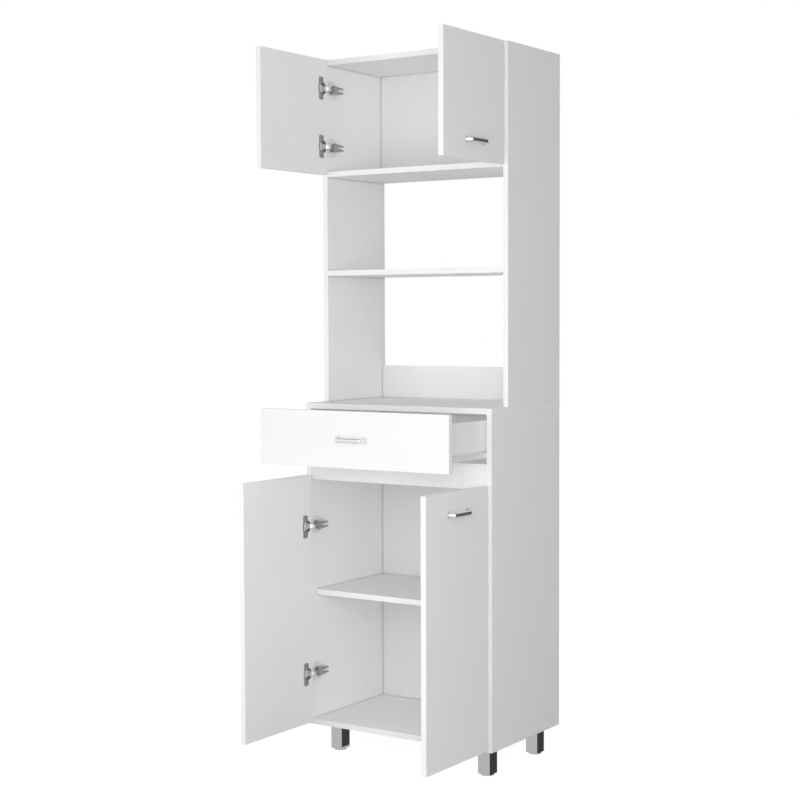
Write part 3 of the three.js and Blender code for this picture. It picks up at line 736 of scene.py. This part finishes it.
def split_rays(tree, lit, seen, output):
    """Shows the second shader to the rays that look at the background and lights with the first."""
    mix = tree.nodes.new("ShaderNodeMixShader")
    tree.links.new(background_rays(tree), mix.inputs["Fac"])
    tree.links.new(lit, mix.inputs[1])
    tree.links.new(seen, mix.inputs[2])
    tree.links.new(mix.outputs[0], tree.nodes[output].inputs["Surface"])


def add_world():
    world = bpy.data.worlds.new("studio")
    scene.world = world
    world.use_nodes = True
    tree = world.node_tree
    light = plain(tree.nodes["Background"], 1, WORLD_FILL)
    shown = plain(tree.nodes.new("ShaderNodeBackground"), 1, WORLD_SHOWN)
    split_rays(tree, light, shown, "World Output")


def card_corners(low, high):
    """The four corners, in turn, of a card that is level or stands upright."""
    (x0, y0, z0), (x1, y1, z1) = low, high
    if x0 == x1:
        return [(x0, y0, z0), (x0, y1, z0), (x0, y1, z1), (x0, y0, z1)]
    if y0 == y1:
        return [(x0, y0, z0), (x1, y0, z0), (x1, y0, z1), (x0, y0, z1)]
    return [(x0, y0, z0), (x1, y0, z0), (x1, y1, z0), (x0, y1, z0)]


def add_sheet(name, corners):
    """A four-cornered sheet of the studio and the tree of its bare material."""
    mesh = bpy.data.meshes.new(name)
    mesh.from_pydata(corners, [], [(0, 1, 2, 3)])
    sheet = bpy.data.objects.new(name, mesh)
    scene.collection.objects.link(sheet)
    material = bpy.data.materials.new(name)
    material.use_nodes = True
    tree = material.node_tree
    tree.nodes.remove(tree.nodes["Principled BSDF"])
    mesh.materials.append(material)
    return sheet, tree


def add_floor():
    """A seamless white floor, which the camera sees almost as bright as the surroundings."""
    half = FLOOR_SIZE / 2
    floor, tree = add_sheet("floor", card_corners((-half, -half, 0), (half, half, 0)))
    lit = plain(tree.nodes.new("ShaderNodeBsdfDiffuse"), FLOOR_WHITE)
    thin = plain(tree.nodes.new("ShaderNodeBsdfDiffuse"), FLOOR_LIT)
    glow = plain(tree.nodes.new("ShaderNodeEmission"), 1, FLOOR_GLOW)
    seen = tree.nodes.new("ShaderNodeAddShader")
    tree.links.new(thin, seen.inputs[0])
    tree.links.new(glow, seen.inputs[1])
    split_rays(tree, lit, seen.outputs[0], "Material Output")


def add_lamp(name, kind, direction, strength):
    data = bpy.data.lights.new(name, kind)
    data.energy = strength
    lamp = bpy.data.objects.new(name, data)
    lamp.rotation_mode = "QUATERNION"
    lamp.rotation_quaternion = Vector(direction).to_track_quat("-Z", "Y")
    lamp.visible_glossy = False
    scene.collection.objects.link(lamp)
    return lamp


def add_lamps():
    for name, direction, strength in FILLS:
        fill = add_lamp(name, "SUN", direction, strength)
        fill.data.angle = FILL_SOFTNESS
        fill.data.use_shadow = False
    for name, place, aim, watts in SOFTBOXES:
        box = add_lamp(name, "AREA", Vector(aim) - Vector(place), watts)
        box.data.size = SOFTBOX_SIZE
        box.location = place


def add_cards():
    """Dark flags and pale glowing cards round the cabinet, which only shiny metal sees: painted
    reflections, with painted shadow of the floor beside and under the cabinet.
    """
    for name, low, high, brightness in CARDS:
        card, tree = add_sheet(name, card_corners(low, high))
        shown = plain(tree.nodes.new("ShaderNodeEmission"), 1, brightness)
        tree.links.new(shown, tree.nodes["Material Output"].inputs["Surface"])
        card.visible_camera = False
        card.visible_diffuse = False
        card.visible_shadow = False
        card.visible_transmission = False


def add_camera():
    data = bpy.data.cameras.new("photo_camera")
    data.sensor_fit = "HORIZONTAL"
    data.sensor_width = SENSOR
    data.lens = SENSOR * FOCAL_PIXELS / PHOTO_SIDE
    data.clip_start, data.clip_end = CAMERA_CLIP
    forward = Vector((
        -math.sin(CAMERA_YAW) * math.cos(CAMERA_PITCH),
        math.cos(CAMERA_YAW) * math.cos(CAMERA_PITCH),
        -math.sin(CAMERA_PITCH),
    ))
    level = Vector((math.cos(CAMERA_YAW), math.sin(CAMERA_YAW), 0))
    upright = level.cross(forward)
    right = math.cos(CAMERA_ROLL) * level + math.sin(CAMERA_ROLL) * upright
    up = -math.sin(CAMERA_ROLL) * level + math.cos(CAMERA_ROLL) * upright
    camera = bpy.data.objects.new("photo_camera", data)
    turn = Matrix((right, up, -forward)).transposed().to_4x4()
    camera.matrix_world = Matrix.Translation(CAMERA_PLACE) @ turn
    scene.collection.objects.link(camera)
    scene.camera = camera


add_world()
add_floor()
add_lamps()
add_cards()
add_camera()
scene.view_settings.view_transform = "Standard"
